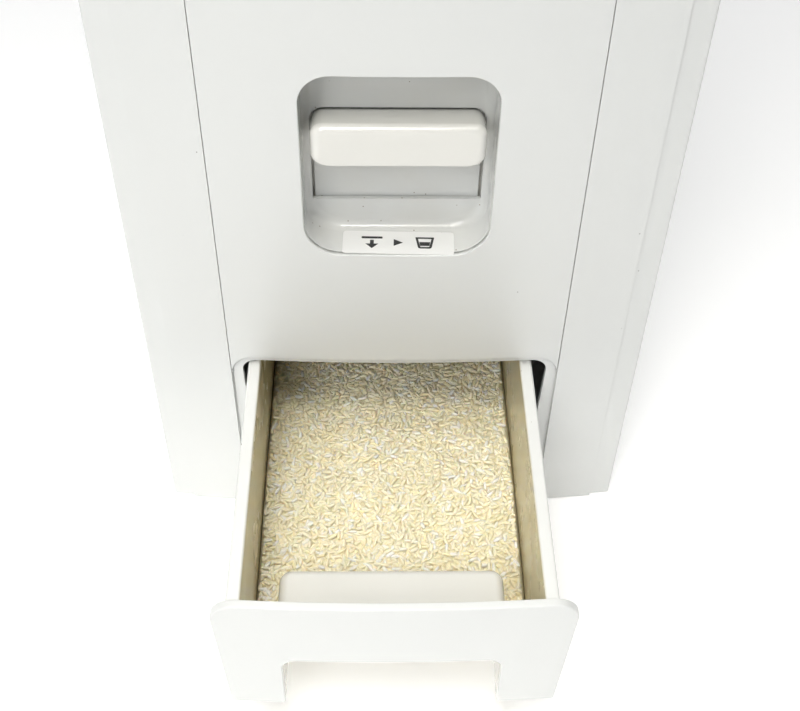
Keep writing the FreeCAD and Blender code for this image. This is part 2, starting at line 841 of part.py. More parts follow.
def top_frame():
    """The rim that ties the casing's top together, hollow below, with knuckles for the lid."""
    frame = body_outline(rim_bottom, rim_top, 0)
    height = rim_top - rim_bottom
    frame = round_edges(frame, corner_round, lambda e: upright_edge(e, height))
    w = rim_opening_half_width
    y0 = rim_opening_front
    y1 = rim_opening_back
    opening = box(-w, w, y0, y1, rim_bottom - 1, rim_top + 1)
    opening = round_edges(opening, 10, lambda e: upright_edge(e, height + 2))
    collar = box(-w - 2, w + 2, y0 - 2, y1 + 2, rim_bottom - 2, rim_top + 1)
    hollow = body_outline(rim_bottom - 1, rim_top - sheet, sheet).cut(collar)
    frame = frame.cut(opening).cut(hollow)
    for x in (-hinge_centre_x, hinge_centre_x):
        for middle in (x - knuckle_pitch, x + knuckle_pitch):
            x0 = middle - outer_knuckle / 2
            x1 = middle + outer_knuckle / 2
            knuckle = hinge_rod(hinge_knuckle_radius, x0, x1)
            foot = box(x0, x1, hinge_y - hinge_knuckle_radius, hinge_y + 0.8, rim_top - 1, hinge_z)
            bore = hinge_rod(hinge_pin_radius + 0.02, x0 - 1, x1 + 1)
            frame = frame.fuse(knuckle.fuse(foot)).cut(bore)
    return frame.removeSplitter()


def hinge_pins():
    """One steel pin through each hinge."""
    reach = knuckle_pitch + outer_knuckle / 2
    pins = []
    for x in (-hinge_centre_x, hinge_centre_x):
        pins.append(hinge_rod(hinge_pin_radius, x - reach, x + reach))
    return Part.makeCompound(pins)


def lid():
    """A shallow cap with a finger scoop at its front edge and knuckles between the top frame's."""
    shell = body_outline(lid_bottom, lid_top, 0.2)
    shell = round_edges(shell, corner_round, lambda e: upright_edge(e, lid_top - lid_bottom))
    shell = round_edges(shell, lid_round, lambda e: on_plane(e, "Z", lid_top))
    shell = shell.cut(body_outline(lid_bottom - 1, lid_top - sheet, sheet + 0.2))
    scoop = rounded_prism(32, lid_bottom - 20, lid_bottom + 6, 0, 5, front - 5, front + 8)
    shell = shell.cut(scoop)
    shell = shell.cut(box(-140, 140, hinge_y - 5, back + 5, lid_bottom - 1, hinge_z))
    parts = [shell]
    bores = []
    for x in (-hinge_centre_x, hinge_centre_x):
        for middle in (x - knuckle_pitch, x + knuckle_pitch):
            reach = outer_knuckle / 2 + 0.4
            parts[0] = parts[0].cut(hinge_rod(lid_open_cut_radius, middle - reach, middle + reach))
        x0 = x - inner_knuckle / 2
        x1 = x + inner_knuckle / 2
        y0 = hinge_y - hinge_knuckle_radius
        y1 = hinge_y + hinge_knuckle_radius
        parts.append(hinge_rod(hinge_knuckle_radius, x0, x1))
        parts.append(box(x0, x1, y0, y1, hinge_z, lid_top - 1))
        bores.append(hinge_rod(hinge_pin_radius + 0.06, x0 - 1.4, x1 + 1.4))
    whole = fused(parts)
    for bore in bores:
        whole = whole.cut(bore)
    return whole


def lid_gasket():
    """The soft ring under the lid that closes on the rim round the filling mouth."""
    z0 = rim_top + 0.4
    z1 = lid_top - sheet - 0.1
    w = rim_opening_half_width + 5
    outer = box(-w, w, rim_opening_front - 5, rim_opening_back + 5, z0, z1)
    outer = round_edges(outer, 12, lambda e: upright_edge(e, z1 - z0))
    inner = box(-w + 4, w - 4, rim_opening_front - 1, rim_opening_back + 1, z0 - 1, z1 + 1)
    inner = round_edges(inner, 8, lambda e: upright_edge(e, z1 - z0 + 2))
    return outer.cut(inner)


# ---- Export -----------------------------------------------------------------------------------------
right_side = side_panel()
right_runner = drawer_runner()
right_rail = guide_rail()

nodes = {
    "base_plate": base_plate(),
    "side_panel_left": mirrored(right_side),
    "side_panel_right": right_side,
    "rear_panel": rear_panel(),
    "rear_screws": rear_screws(),
    "front_frame": front_frame(),
    "front_cover": front_cover(),
    "recess_housing": recess_housing(),
    "press_label": press_label(),
    "guide_rail_left": mirrored(right_rail),
    "guide_rail_right": right_rail,
    "spring_bracket": spring_bracket(),
    "spring_posts": spring_posts(),
    "return_springs": return_springs(),
    "press_lever": press_lever(),
    "dust_shield": dust_shield(),
    "lever_slide": lever_slide(),
    "measuring_drum": measuring_drum(),
    "drum_shaft": drum_shaft(),
    "drum_pinion": drum_pinion(),
    "drum_housing_front": drum_housing(-1),
    "drum_housing_rear": drum_housing(1),
    "shaft_bushes": shaft_bushes(),
    "discharge_chute": discharge_chute(),
    "hopper_bin": hopper_bin(),
    "drawer_front": shifted(drawer_front(), drawer_offset),
    "drawer_tray": shifted(drawer_tray(), drawer_offset),
    "pull_pocket": shifted(pull_pocket(), drawer_offset),
    "rice_fill": shifted(rice_fill(), drawer_offset),
    "drawer_runner_left": shifted(mirrored(right_runner), drawer_offset),
    "drawer_runner_right": shifted(right_runner, drawer_offset),
    "top_frame": top_frame(),
    "hinge_pins": hinge_pins(),
    "lid": lid(),
    "lid_gasket": lid_gasket(),
}

for name, shape in nodes.items():
    solids = shape.Solids
    whole = solids[0] if len(solids) == 1 else Part.makeCompound(solids)
    print(f"{name}: {len(solids)} solid(s), {whole.Volume / 1000:.2f} cm3, valid {whole.isValid()}")
    whole.exportStep(f"parts/{name}.step")
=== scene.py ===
"""Looks of the rice dispenser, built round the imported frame. Shapes are worked out in millimetres."""

import json
import math

import bmesh
import bpy
import numpy as np
from mathutils import Matrix, Vector


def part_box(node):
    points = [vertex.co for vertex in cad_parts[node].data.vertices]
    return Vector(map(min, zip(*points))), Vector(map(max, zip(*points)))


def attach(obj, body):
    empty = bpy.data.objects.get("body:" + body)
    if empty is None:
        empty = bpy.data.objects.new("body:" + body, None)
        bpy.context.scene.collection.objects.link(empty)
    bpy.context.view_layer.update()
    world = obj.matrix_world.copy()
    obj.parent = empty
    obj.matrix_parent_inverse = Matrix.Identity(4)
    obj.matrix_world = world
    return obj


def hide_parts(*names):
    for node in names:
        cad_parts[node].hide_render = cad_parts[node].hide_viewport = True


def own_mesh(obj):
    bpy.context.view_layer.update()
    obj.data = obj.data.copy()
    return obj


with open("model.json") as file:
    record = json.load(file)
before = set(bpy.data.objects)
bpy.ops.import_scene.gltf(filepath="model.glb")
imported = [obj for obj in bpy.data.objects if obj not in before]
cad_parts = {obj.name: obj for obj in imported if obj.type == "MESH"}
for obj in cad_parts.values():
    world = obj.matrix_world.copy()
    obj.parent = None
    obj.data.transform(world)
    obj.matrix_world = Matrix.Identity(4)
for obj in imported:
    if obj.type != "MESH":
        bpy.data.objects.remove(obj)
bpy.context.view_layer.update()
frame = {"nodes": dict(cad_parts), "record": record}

MM = 0.001
BOW = 1192.0  # radius of the front's curve, seen from above
TRAY_INNER = 66.8  # half the room between the tray's side walls


def box(node):
    """A CAD node's lowest and highest corner in millimetres."""
    low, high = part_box(node)
    return Vector(low) / MM, Vector(high) / MM


COVER_LOW, COVER_HIGH = box("front_cover")
HOUSING_LOW, HOUSING_HIGH = box("recess_housing")
LEVER_LOW, LEVER_HIGH = box("press_lever")
SHIELD_LOW, SHIELD_HIGH = box("dust_shield")
PLATE_LOW, PLATE_HIGH = box("drawer_front")
TRAY_LOW, TRAY_HIGH = box("drawer_tray")
PULL_LOW, PULL_HIGH = box("pull_pocket")
LABEL_LOW, LABEL_HIGH = box("press_label")
FRONT = COVER_LOW.y
TRAY_MIDDLE = (TRAY_LOW.x + TRAY_HIGH.x) / 2
PULL_HALF = (PULL_HIGH.x - PULL_LOW.x) / 2


def bow(x):
    """How far the bowed front lies behind its crown."""
    return BOW - math.sqrt(BOW * BOW - x * x)


# ---- Camera and light -------------------------------------------------------------------------------
def make_camera():
    """The photo's view: from in front and above, a little from the left."""
    pitch, yaw, roll = (math.radians(a) for a in (46.513, 1.648, -1.216))
    ahead = Vector((math.sin(yaw) * math.cos(pitch), math.cos(yaw) * math.cos(pitch), -math.sin(pitch)))
    level = Vector((math.cos(yaw), -math.sin(yaw), 0))
    down = ahead.cross(level)
    right = level * math.cos(roll) + down * math.sin(roll)
    up = level * math.sin(roll) - down * math.cos(roll)
    data = bpy.data.cameras.new("camera")
    data.lens = 54.23
    data.sensor_width = 36
    camera = bpy.data.objects.new("camera", data)
    bpy.context.scene.collection.objects.link(camera)
    turn = Matrix((right, up, -ahead)).transposed().to_4x4()
    camera.matrix_world = Matrix.Translation((-0.00967, -0.5938, 0.5705)) @ turn
    bpy.context.scene.camera = camera


def area_light(name, place, target, size, power, colour, spread=180):
    """A rectangular lamp that faces its target. Power is in watts, and spread in degrees."""
    data = bpy.data.lights.new(name, "AREA")
    data.shape = "RECTANGLE"
    data.size, data.size_y = size
    data.energy = power
    data.color = colour
    data.spread = math.radians(spread)
    light = bpy.data.objects.new(name, data)
    light.location = place
    light.rotation_euler = (Vector(target) - Vector(place)).to_track_quat("-Z", "Y").to_euler()
    bpy.context.scene.collection.objects.link(light)


def make_studio():
    """A pale room: even light from all round, four soft lamps and the floor."""
    bpy.context.scene.view_settings.view_transform = "Standard"
    world = bpy.data.worlds.new("studio")
    world.use_nodes = True
    sky = world.node_tree.nodes["Background"].inputs
    sky["Color"].default_value = (0.96, 0.98, 1.0, 1)
    sky["Strength"].default_value = 0.22
    bpy.context.scene.world = world
    area_light("overhead", (0.0, -0.15, 2.6), (0, -0.15, 0.2), (1.6, 1.2), 24.5, (1.0, 0.99, 0.97))
    area_light("key", (-0.7, -2.0, 1.7), (-0.13, -0.25, 0.06), (1.0, 1.0), 3.1, (1.0, 1.0, 0.99), spread=60)
    area_light("rake", (-2.0, -0.9, 0.9), (0, -0.2, 0.25), (1.0, 1.2), 5.0, (0.97, 0.99, 1.0))
    pool = (-0.06, -0.36, 0.05)
    area_light("drawer_pool", (-0.15, -0.85, 1.6), pool, (0.5, 0.4), 1.0, (1.0, 0.97, 0.9), spread=50)
    make_floor()


def make_floor():
    """A plain floor just below the object, which gives off a little light of its own."""
    half = 5.0
    below = 0.0003
    corners = [(-half, -half, 0), (half, -half, 0), (half, half, 0), (-half, half, 0)]
    mesh = bpy.data.meshes.new("floor")
    mesh.from_pydata(corners, [], [(0, 1, 2, 3)])
    floor = bpy.data.objects.new("floor", mesh)
    floor.location.z = -below
    bpy.context.scene.collection.objects.link(floor)
    material = bpy.data.materials.new("floor_paint")
    material.use_nodes = True
    paint = material.node_tree.nodes["Principled BSDF"].inputs
    paint["Base Color"].default_value = (0.95, 0.95, 0.95, 1)
    paint["Roughness"].default_value = 0.85
    paint["Specular IOR Level"].default_value = 0.1
    paint["Emission Color"].default_value = (1.0, 1.0, 1.0, 1)
    paint["Emission Strength"].default_value = 0.26
    mesh.materials.append(material)


# ---- Materials --------------------------------------------------------------------------------------
# White of the tray's rim and outer sides; the khaki inside is dust and painted shade.
UNDUSTED_UNSHADED_RIM = (0.77, 0.775, 0.755)
SCUFF = (0.52, 0.50, 0.46)
# Khaki film of dust, which on the recess and inside the tray is also painted shade.
DUST_AND_SHADE_FILM = (0.62, 0.57, 0.44)
DUST_GRAIN = (0.24, 0.20, 0.14)
SPECK = (0.13, 0.11, 0.09)


class Recipe:
    """A material's node tree with short names for the nodes that are used here."""

    def __init__(self, name):
        self.material = bpy.data.materials.new(name)
        self.material.use_nodes = True
        self.nodes = self.material.node_tree.nodes
        self.links = self.material.node_tree.links
        self.shader = self.nodes["Principled BSDF"]
        self.place = self.nodes.new("ShaderNodeTexCoord").outputs["Object"]

    def plug(self, socket, value):
        """Links a socket's value in, or sets a plain one."""
        if isinstance(value, bpy.types.NodeSocket):
            self.links.new(value, socket)
        else:
            socket.default_value = value

    def noise(self, scale, detail=2.0, stretch=None):
        """Cloudy noise, drawn out along an axis where its stretch is less than 1."""
        node = self.nodes.new("ShaderNodeTexNoise")
        node.inputs["Scale"].default_value = scale
        node.inputs["Detail"].default_value = detail
        self.links.new(self.stretched(stretch), node.inputs["Vector"])
        return node.outputs["Fac"]

    def stretched(self, stretch):
        """The place in the object, scaled along each axis."""
        if stretch is None:
            return self.place
        node = self.nodes.new("ShaderNodeMapping")
        node.inputs["Scale"].default_value = stretch
        self.links.new(self.place, node.inputs["Vector"])
        return node.outputs["Vector"]

    def dots(self, scale, radius):
        """Small round specks: 1 inside a speck, 0 outside."""
        node = self.nodes.new("ShaderNodeTexVoronoi")
        node.inputs["Scale"].default_value = scale
        self.links.new(self.place, node.inputs["Vector"])
        return self.span(node.outputs["Distance"], radius * 0.6, radius, 1, 0)

    def outside_tray(self):
        """1 on the tray's rim and outer sides, 0 on the inner walls, which keep a darker khaki of rice dust
        and painted shade.
        """
        edge, fade = 0.4, 1.2
        split = self.nodes.new("ShaderNodeSeparateXYZ")
        self.links.new(self.place, split.inputs[0])
        rim = self.span(split.outputs["Z"], (TRAY_HIGH.z - fade) * MM, TRAY_HIGH.z * MM, 0, 1)
        aside = self.math("ABSOLUTE", self.math("SUBTRACT", split.outputs["X"], TRAY_MIDDLE * MM), 0)
        side = self.span(aside, (TRAY_INNER + edge) * MM, (TRAY_INNER + fade) * MM, 0, 1)
        return self.math("MAXIMUM", rim, side)

    def span(self, value, low, high, start, end):
        """Maps low..high to start..end, and holds it there beyond."""
        node = self.nodes.new("ShaderNodeMapRange")
        for socket, number in zip(("From Min", "From Max", "To Min", "To Max"), (low, high, start, end)):
            node.inputs[socket].default_value = number
        self.links.new(value, node.inputs["Value"])
        return node.outputs["Result"]

    def math(self, operation, a, b):
        """A sum, product or the like of two values."""
        node = self.nodes.new("ShaderNodeMath")
        node.operation = operation
        self.plug(node.inputs[0], a)
        self.plug(node.inputs[1], b)
        return node.outputs[0]

    def mix(self, factor, a, b):
        """Colour a at factor 0, and b at factor 1."""
        node = self.nodes.new("ShaderNodeMix")
        node.data_type = "RGBA"
        self.plug(node.inputs["Factor"], factor)
        for socket, value in ((node.inputs["A"], a), (node.inputs["B"], b)):
            colour_socket = [s for s in node.inputs if s.name == socket.name and s.type == "RGBA"][0]
            self.plug(colour_socket, value if isinstance(value, bpy.types.NodeSocket) else (*value, 1))
        return [s for s in node.outputs if s.type == "RGBA"][0]

    def bump(self, height, strength, distance):
        """Relief, on top of any that is there already. Distance is in metres."""
        node = self.nodes.new("ShaderNodeBump")
        node.inputs["Strength"].default_value = strength
        node.inputs["Distance"].default_value = distance
        self.links.new(height, node.inputs["Height"])
        last = self.shader.inputs["Normal"].links
        if last:
            self.links.new(last[0].from_socket, node.inputs["Normal"])
        self.links.new(node.outputs["Normal"], self.shader.inputs["Normal"])


def plastic(name, colour, shade, roughness, gloss=0.0, scuffs=0.0, dust_and_shade=0.0, texture=0.0, tray=False):
    """Moulded plastic: uneven tone, fine scuffs, dust and a faint texture. On the recess and inside a tray
    the dust and khaki are partly painted shade; a tray's rim and outer sides are white.
    """
    r = Recipe(name)
    tone = r.mix(r.span(r.noise(6, 2), 0.15, 0.85, 0, 1), colour, shade)
    # Painted shade and dust: the tray keeps its darker khaki inside, and only its rim and outer sides turn
    # white.
    if tray:
        undusted_unshaded = r.outside_tray()
        tone = r.mix(undusted_unshaded, tone, UNDUSTED_UNSHADED_RIM)
    rough = r.span(r.noise(38, 3), 0.1, 0.9, roughness - 0.015, roughness + 0.015)
    if scuffs:
        streaks = r.math("MULTIPLY", r.noise(30, 6, (22, 22, 1.3)), r.noise(24, 3))
        mark = r.span(streaks, 0.3, 0.62, 0, scuffs)
        across = r.math("MULTIPLY", r.noise(30, 6, (1.5, 1.5, 26)), r.noise(19, 3))
        mark = r.math("ADD", mark, r.span(across, 0.3, 0.62, 0, scuffs * 0.8))
        tone = r.mix(r.math("MULTIPLY", mark, 0.12), tone, SCUFF)
        rough = r.math("ADD", rough, r.math("MULTIPLY", mark, 0.15))
    # A khaki film of dust, partly painted shade on the recess's walls and inside the tray.
    if dust_and_shade:
        film = r.span(r.noise(26, 6), 0.42, 0.75, 0, dust_and_shade)
        if tray:
            film = r.math("MULTIPLY", film, r.span(undusted_unshaded, 0, 1, 1, 0.1))
        tone = r.mix(film, tone, DUST_AND_SHADE_FILM)
        rough = r.math("ADD", rough, r.math("MULTIPLY", film, 0.4))
        tone = r.mix(r.dots(170, 0.07), tone, DUST_GRAIN)
    specks = r.dots(52, 0.02)
    tone = r.mix(r.math("MULTIPLY", specks, 0.75), tone, SPECK)
    r.plug(r.shader.inputs["Base Color"], tone)
    r.plug(r.shader.inputs["Roughness"], rough)
    r.shader.inputs["IOR"].default_value = 1.53
    r.shader.inputs["Coat Weight"].default_value = gloss
    r.shader.inputs["Coat Roughness"].default_value = 0.05
    r.bump(r.noise(260, 2), 0.012, 0.0004)
    if texture:
        r.bump(r.noise(2600, 3), texture, 0.00012)
    return r.material


def metal(name, colour, roughness, stretch):
    """Drawn or turned steel with fine lines along it."""
    r = Recipe(name)
    lines = r.noise(900, 4, stretch)
    tone = r.mix(r.span(lines, 0.3, 0.7, 0, 1), colour, [c * 0.8 for c in colour])
    r.plug(r.shader.inputs["Base Color"], tone)
    r.plug(r.shader.inputs["Roughness"], r.span(lines, 0.3, 0.7, roughness - 0.06, roughness + 0.1))
    r.shader.inputs["Metallic"].default_value = 1.0
    r.bump(lines, 0.12, 0.00008)
    return r.material


def rice_skin():
    """Polished rice: each grain has its own tone, a paler chalky middle and a waxy skin."""
    r = Recipe("rice_skin")
    island = r.nodes.new("ShaderNodeNewGeometry").outputs["Random Per Island"]
    tone = r.mix(island, (0.93, 0.83, 0.55), (0.95, 0.89, 0.70))
    chalk = r.math("MULTIPLY", r.span(island, 0.86, 0.9, 0, 1), 0.8)
    tone = r.mix(chalk, tone, (0.95, 0.94, 0.90))
    patch = r.span(r.noise(700, 3), 0.45, 0.7, 0, 0.45)
    tone = r.mix(patch, tone, (0.96, 0.93, 0.84))
    r.plug(r.shader.inputs["Base Color"], tone)
    r.plug(r.shader.inputs["Roughness"], r.span(r.noise(1500, 3), 0.3, 0.7, 0.3, 0.5))
    r.shader.inputs["IOR"].default_value = 1.5
    r.shader.inputs["Subsurface Weight"].default_value = 0.25
    r.shader.inputs["Subsurface Radius"].default_value = (1.0, 0.72, 0.42)
    r.shader.inputs["Subsurface Scale"].default_value = 0.0012
    r.bump(r.noise(1900, 3), 0.25, 0.0001)
    return r.material


def rubber():
    """Pale silicone with a dull, finely mottled skin."""
    r = Recipe("seal_silicone")
    tone = r.mix(r.span(r.noise(60, 4), 0.35, 0.7, 0, 1), (0.72, 0.72, 0.70), (0.64, 0.63, 0.60))
    r.plug(r.shader.inputs["Base Color"], tone)
    r.plug(r.shader.inputs["Roughness"], r.span(r.noise(300, 3), 0.3, 0.7, 0.5, 0.66))
    r.bump(r.noise(1500, 2), 0.15, 0.0002)
    return r.material


def ink():
    """Black print, a little uneven."""
    r = Recipe("label_ink")
    tone = r.mix(r.span(r.noise(1200, 3), 0.4, 0.65, 0, 1), (0.012, 0.012, 0.013), (0.035, 0.034, 0.034))
    r.plug(r.shader.inputs["Base Color"], tone)
    r.plug(r.shader.inputs["Roughness"], r.span(r.noise(800, 2), 0.3, 0.7, 0.4, 0.55))
    return r.material


# Each plastic: name, colour, shade, roughness, gloss, scuffs, dust_and_shade, texture. On the recess and the
# drawer the dust is partly painted shade.
finishes = {
    "casing_white": plastic("casing_abs", (0.722, 0.732, 0.72), (0.717, 0.727, 0.715), 0.3, 0, 0.06, 0, 0.03),
    # Its dust film is partly painted shade, darkening and warming the recess's walls.
    "recess_white": plastic("recess_abs", (0.69, 0.70, 0.69), (0.67, 0.675, 0.66), 0.17, 0.3, 0.15, 0.18),
    "lever_gloss": plastic("lever_abs", (0.745, 0.738, 0.70), (0.735, 0.728, 0.685), 0.2, 0.5, 0.1),
    # The drawer's khaki shows inside the tray only, as dust and painted shade.
    "drawer_plastic": plastic(
        "drawer_abs", (0.63, 0.56, 0.36), (0.57, 0.50, 0.31), 0.22, 0.2, 0.3, 0.35, tray=True
    ),
    "inner_plastic": plastic("inner_abs", (0.66, 0.66, 0.64), (0.61, 0.61, 0.585), 0.5, 0, 0.2, 0.15, 0.2),
    "hopper_plastic": plastic("hopper_pp", (0.80, 0.80, 0.785), (0.76, 0.757, 0.74), 0.42, 0, 0.3, 0.08, 0.1),
    "drum_plastic": plastic("drum_pp", (0.78, 0.78, 0.76), (0.73, 0.73, 0.70), 0.4, 0, 0.4, 0.12, 0.1),
    "acetal": plastic("acetal_natural", (0.82, 0.81, 0.76), (0.79, 0.775, 0.72), 0.36, 0, 0.2, 0, 0.1),
    "steel": metal("shaft_steel", (0.62, 0.62, 0.63), 0.26, (0.05, 1, 1)),
    "spring_steel": metal("spring_wire", (0.42, 0.42, 0.43), 0.32, (1, 1, 0.2)),
    "label_vinyl": plastic("label_vinyl", (0.86, 0.86, 0.85), (0.83, 0.83, 0.815), 0.33, 0.1, 0.4),
    "silicone": rubber(),
    "rice": rice_skin(),
}


# ---- Mesh helpers -----------------------------------------------------------------------------------
def in_place(bm, name, body, slot, *replaced, normals=True):
    """Turns a mesh in millimetres into a piece of the model. The drawer's are drawn about its middle."""
    mesh = bpy.data.meshes.new(name)
    if body == "drawer":
        bmesh.ops.translate(bm, vec=(TRAY_MIDDLE, 0, 0), verts=bm.verts)
    bmesh.ops.scale(bm, vec=(MM, MM, MM), verts=bm.verts)
    bm.to_mesh(mesh)
    bm.free()
    return piece(mesh, name, body, slot, *replaced, normals=normals)


def piece(mesh, name, body, slot, *replaced, normals=True):
    """Gives a mesh in metres its finish, its body and the CAD nodes that it stands for."""
    mesh.polygons.foreach_set("use_smooth", [True] * len(mesh.polygons))
    mesh.materials.clear()
    mesh.materials.append(finishes[slot])
    made = bpy.data.objects.new(name, mesh)
    bpy.context.scene.collection.objects.link(made)
    if normals:
        modifier = made.modifiers.new("normals", "WEIGHTED_NORMAL")
        modifier.keep_sharp = True
        modifier.weight = 60
    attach(made, body)
    if replaced:
        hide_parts(*replaced)
    return made


def rounded(corners, steps=8):
    """A closed line of (u, v) points through corners (u, v, radius), each rounded off."""
    line = []
    count = len(corners)
    for i, (u, v, radius) in enumerate(corners):
        here = Vector((u, v))
        if radius <= 0:
            line.append((u, v))
            continue
        to_last = (Vector(corners[i - 1][:2]) - here).normalized()
        to_next = (Vector(corners[(i + 1) % count][:2]) - here).normalized()
        half = to_last.angle(to_next) / 2
        centre = here + (to_last + to_next).normalized() * (radius / math.sin(half))
        start = here + to_last * (radius / math.tan(half)) - centre
        end = here + to_next * (radius / math.tan(half)) - centre
        sweep = math.atan2(start.x * end.y - start.y * end.x, start.dot(end))
        for k in range(steps + 1):
            angle = sweep * k / steps
            c, s = math.cos(angle), math.sin(angle)
            line.append((centre.x + start.x * c - start.y * s, centre.y + start.x * s + start.y * c))
    return line


def upright(half, low, high, radius_low, radius_high, inset=0.0, steps=8):
    """A rounded rectangle about the plane x = 0, drawn in by inset."""
    w, z0, z1 = half - inset, low + inset, high - inset
    r0, r1 = max(radius_low - inset, 0.05), max(radius_high - inset, 0.05)
    return rounded([(-w, z0, r0), (w, z0, r0), (w, z1, r1), (-w, z1, r1)], steps)


def slab(loops, start, thickness, edge, flat_back=False, steps=3):
    """A plate from (x, z) loops, its front at y = start, with rounded edges. Later loops are holes."""
    depth = thickness * 2 if flat_back else thickness
    curve = bpy.data.curves.new("outline", "CURVE")
    curve.dimensions = "2D"
    curve.fill_mode = "BOTH"
    curve.extrude = depth / 2 - edge
    curve.bevel_depth = edge
    curve.bevel_resolution = steps
    curve.offset = -edge
    for loop in loops:
        spline = curve.splines.new("POLY")
        spline.points.add(len(loop) - 1)
        for point, (u, v) in zip(spline.points, loop):
            point.co = (u, v, 0, 1)
        spline.use_cyclic_u = True
    holder = bpy.data.objects.new("outline", curve)
    mesh = bpy.data.meshes.new_from_object(holder)
    bpy.data.objects.remove(holder)
    bm = bmesh.new()
    bm.from_mesh(mesh)
    bpy.data.meshes.remove(mesh)
    bmesh.ops.remove_doubles(bm, verts=bm.verts, dist=1e-4)
    for vertex in bm.verts:
        u, v, w = vertex.co
        vertex.co = (u, start + depth / 2 + w, v)
    if flat_back:
        everything = bm.verts[:] + bm.edges[:] + bm.faces[:]
        cut = bmesh.ops.bisect_plane(
            bm, geom=everything, plane_co=(0, start + thickness, 0), plane_no=(0, 1, 0), clear_outer=True
        )
        rim = [e for e in cut["geom_cut"] if isinstance(e, bmesh.types.BMEdge)]
        bmesh.ops.triangle_fill(bm, use_beauty=True, use_dissolve=False, edges=rim)
    bmesh.ops.recalc_face_normals(bm, faces=bm.faces)
    return bm


def bend(bm, reach, step=8.0):
    """Slices a plate across X and bends it to the front's bow."""
    x = -reach + step
    while x < reach - 0.5 * step:
        everything = bm.verts[:] + bm.edges[:] + bm.faces[:]
        bmesh.ops.bisect_plane(bm, geom=everything, dist=1e-4, plane_co=(x, 0, 0), plane_no=(1, 0, 0))
        x += step
    for vertex in bm.verts:
        vertex.co.y += bow(vertex.co.x)
    return bm


def loft(rings):
    """A skin through rings of (x, y, z) points, closed at both ends."""
    bm = bmesh.new()
    rows = [[bm.verts.new(point) for point in ring] for ring in rings]
    for row, after in zip(rows, rows[1:]):
        for i in range(len(row)):
            j = (i + 1) % len(row)
            bm.faces.new((row[i], row[j], after[j], after[i]))
    bm.faces.new(rows[0][::-1])
    bm.faces.new(rows[-1])
    bmesh.ops.recalc_face_normals(bm, faces=bm.faces)
    return bm


def quarter(radius, steps=6):
    """(along, inset) pairs that round an edge off, from its tip inwards."""
    turns = [math.pi / 2 * k / steps for k in range(steps + 1)]
    return [(radius * (1 - math.sin(t)), radius * (1 - math.cos(t))) for t in reversed(turns)]


def cut_away(bm, tool, edge=0.0):
    """The first mesh less the second."""
    made = []
    for number, part in enumerate((bm, tool)):
        mesh = bpy.data.meshes.new(f"cut_{number}")
        part.to_mesh(mesh)
        part.free()
        made.append(bpy.data.objects.new(f"cut_{number}", mesh))
        bpy.context.scene.collection.objects.link(made[-1])
    modifier = made[0].modifiers.new("cut", "BOOLEAN")
    modifier.operation = "DIFFERENCE"
    modifier.solver = "EXACT"
    modifier.object = made[1]
    if edge:
        soften = made[0].modifiers.new("edge", "BEVEL")
        soften.width = edge
        soften.segments = 2
        soften.limit_method = "ANGLE"
        soften.angle_limit = math.radians(50)
    result = bpy.data.meshes.new_from_object(made[0].evaluated_get(bpy.context.evaluated_depsgraph_get()))
    left = bmesh.new()
    left.from_mesh(result)
    for old in made:
        bpy.data.meshes.remove(old.data)
    bpy.data.meshes.remove(result)
    return left


def joined(parts):
    """Several meshes as one."""
    whole = bmesh.new()
    for part in parts:
        mesh = bpy.data.meshes.new("part")
        part.to_mesh(mesh)
        part.free()
        whole.from_mesh(mesh)
        bpy.data.meshes.remove(mesh)
    return whole


def softened(node, edge, slot, body):
    """A moulded stand-in for a CAD node, the same shape with its sharp edges rounded."""
    bm = bmesh.new()
    bm.from_mesh(frame["nodes"][node].data)
    bmesh.ops.scale(bm, vec=(1 / MM,) * 3, verts=bm.verts)
    bmesh.ops.remove_doubles(bm, verts=bm.verts, dist=2e-3)
    bmesh.ops.dissolve_limit(bm, angle_limit=math.radians(0.4), verts=bm.verts, edges=bm.edges)
    sharp = [e for e in bm.edges if len(e.link_faces) == 2 and e.calc_face_angle(0) > math.radians(40)]
    round_off = {"segments": 2, "profile": 0.5, "affect": "EDGES", "clamp_overlap": True}
    bmesh.ops.bevel(bm, geom=sharp, offset=edge, offset_type="OFFSET", **round_off)
    bmesh.ops.recalc_face_normals(bm, faces=bm.faces)
    return in_place(bm, node + "_moulding", body, slot, node)


# ---- Front ------------------------------------------------------------------------------------------
HOUSING_FLANGE = 8.0
RECESS_HALF = HOUSING_HIGH.x - HOUSING_FLANGE
RECESS_BOTTOM = HOUSING_LOW.z + HOUSING_FLANGE
RECESS_TOP = HOUSING_HIGH.z - HOUSING_FLANGE
RECESS_DEPTH = 22.4
RECESS_BACK = FRONT + RECESS_DEPTH
RECESS_RADII = (17.0, 14.0)  # below, above
WINDOW_HALF = 39.4
WINDOW_BOTTOM, WINDOW_TOP = 209.8, 261.0
COVER_THICKNESS = 2.6
CONTOUR_TOP = COVER_LOW.z + 12


def recess_line(inset=0.0):
    """The recess's outline, drawn in by inset."""
    return upright(RECESS_HALF, RECESS_BOTTOM, RECESS_TOP, *RECESS_RADII, inset, 12)


def make_cover():
    """The centre cover, with the recess's hole and its foot shaped round the drawer."""
    w = COVER_HIGH.x
    inner = w - 0.5
    foot = COVER_LOW.z
    outer = [(-w, foot, 0.2), (-inner, foot, 0), (-inner, CONTOUR_TOP, 12), (inner, CONTOUR_TOP, 12)]
    outer += [(inner, foot, 0), (w, foot, 0.2), (w, COVER_HIGH.z, 4), (-w, COVER_HIGH.z, 4)]
    bm = slab([rounded(outer, 12), recess_line()], FRONT, COVER_THICKNESS, 0.45, flat_back=True)
    return in_place(bend(bm, w), "cover_moulding", "case", "casing_white", "front_cover")


